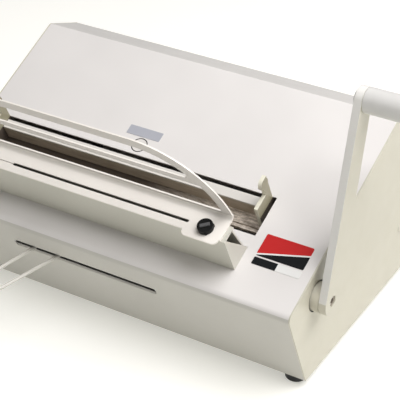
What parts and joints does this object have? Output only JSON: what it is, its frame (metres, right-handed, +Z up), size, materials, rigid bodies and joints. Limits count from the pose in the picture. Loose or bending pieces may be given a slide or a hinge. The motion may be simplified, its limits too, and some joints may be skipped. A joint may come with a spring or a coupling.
{
  "type": "channel binding machine",
  "caption": "Wedge-shaped desktop machine with a hand lever that closes a long clamp onto a metal book spine, with a book rest and a swing-out wire support.",
  "frame": {"origin": "middle of the whole machine's box at the level of the feet", "axes": "+X to the right, towards the lever, along the clamp; +Y back, away from the operator; +Z up"},
  "size_m": [0.5499, 0.3412, 0.2951],
  "materials": {
    "top_cover": "satin",
    "side_panel_left": "satin",
    "side_panel_right": "satin",
    "back_panel": "satin",
    "base_plate": "satin",
    "rubber_feet": "matt",
    "foot_screws": "satin",
    "cover_plug": "matt",
    "corner_brackets": "satin",
    "side_screws": "satin",
    "back_screws": "satin",
    "frame_plate_left": "satin",
    "frame_plate_right": "satin",
    "frame_screws": "satin",
    "bed_plate": "worn",
    "bed_screws": "satin",
    "rear_jaw": "worn",
    "rear_jaw_cap": "satin",
    "end_plate_left": "satin",
    "end_plate_right": "satin",
    "end_plate_screws": "satin",
    "front_jaw": "worn",
    "follower_pins": "satin",
    "guide_rods": "polished",
    "rod_brackets": "satin",
    "main_shaft": "satin",
    "shaft_bushes": "satin",
    "cam_left": "satin",
    "cam_right": "satin",
    "cam_keys": "satin",
    "return_spring": "satin",
    "spring_post": "satin",
    "lever_arm": "satin",
    "hub_screw": "satin",
    "grip_spindle": "satin",
    "lever_grip": "glossy",
    "front_block": "satin",
    "block_screws": "satin",
    "book_rest": "satin",
    "setting_knob": "matt",
    "stop_spindle": "satin",
    "wire_support": "plastic coated wire",
    "wire_pivot_bar": "satin",
    "wire_pivot_post": "satin",
    "pivot_clip": "satin",
    "post_screw": "satin"
  },
  "bodies": {
    "machine": {"top_cover": "top_cover", "side_panel_left": "side_panel_left", "side_panel_right": "side_panel_right", "back_panel": "back_panel", "base_plate": "base_plate", "rubber_feet": "rubber_feet", "foot_screws": "foot_screws", "cover_plug": "cover_plug", "corner_brackets": "corner_brackets", "side_screws": "side_screws", "back_screws": "back_screws", "frame_plate_left": "frame_plate_left", "frame_plate_right": "frame_plate_right", "frame_screws": "frame_screws", "bed_plate": "bed_plate", "bed_screws": "bed_screws", "rear_jaw": "rear_jaw", "rear_jaw_cap": "rear_jaw_cap", "end_plate_left": "end_plate_left", "end_plate_right": "end_plate_right", "end_plate_screws": "end_plate_screws", "guide_rods": "guide_rods", "rod_brackets": "rod_brackets", "shaft_bushes": "shaft_bushes", "return_spring": "return_spring", "spring_post": "spring_post", "front_block": "front_block", "block_screws": "block_screws", "book_rest": "book_rest", "wire_pivot_post": "wire_pivot_post", "pivot_clip": "pivot_clip", "post_screw": "post_screw"},
    "lever": {"lever_arm": "lever_arm", "hub_screw": "hub_screw", "grip_spindle": "grip_spindle", "lever_grip": "lever_grip", "main_shaft": "main_shaft", "cam_left": "cam_left", "cam_right": "cam_right", "cam_keys": "cam_keys"},
    "moving_jaw": {"front_jaw": "front_jaw", "follower_pins": "follower_pins"},
    "knob": {"setting_knob": "setting_knob", "stop_spindle": "stop_spindle"},
    "wire_loop": {"wire_support": "wire_support", "wire_pivot_bar": "wire_pivot_bar"}
  },
  "joints": [
    {"name": "lever_pivot", "type": "hinge", "parent": "machine", "child": "lever", "pos_m": [-0.06355, -0.05025, 0.09783], "axis": [1, 0, 0], "range_deg": [0, 85], "stiffness_Nm_per_rad": 0.6, "springref_deg": -57.3, "deforming": ["return_spring"]},
    {"name": "jaw_slide", "type": "slide", "parent": "machine", "child": "moving_jaw", "axis": [0, 0.9178, 0.3971], "range_m": [0, 0.0201]},
    {"name": "knob_turn", "type": "hinge", "parent": "machine", "child": "knob", "pos_m": [0.05145, -0.08859, 0.16351], "axis": [0, -0.3971, 0.9178], "range_deg": [0, 270]},
    {"name": "wire_swing", "type": "hinge", "parent": "machine", "child": "wire_loop", "pos_m": [-0.12795, -0.05754, 0.07368], "axis": [0, 0, 1], "range_deg": [-20, 99]}
  ],
  "couplings": [
    {"joint": "jaw_slide", "follows": "lever_pivot", "m_per_rad": 0.013481}
  ]
}
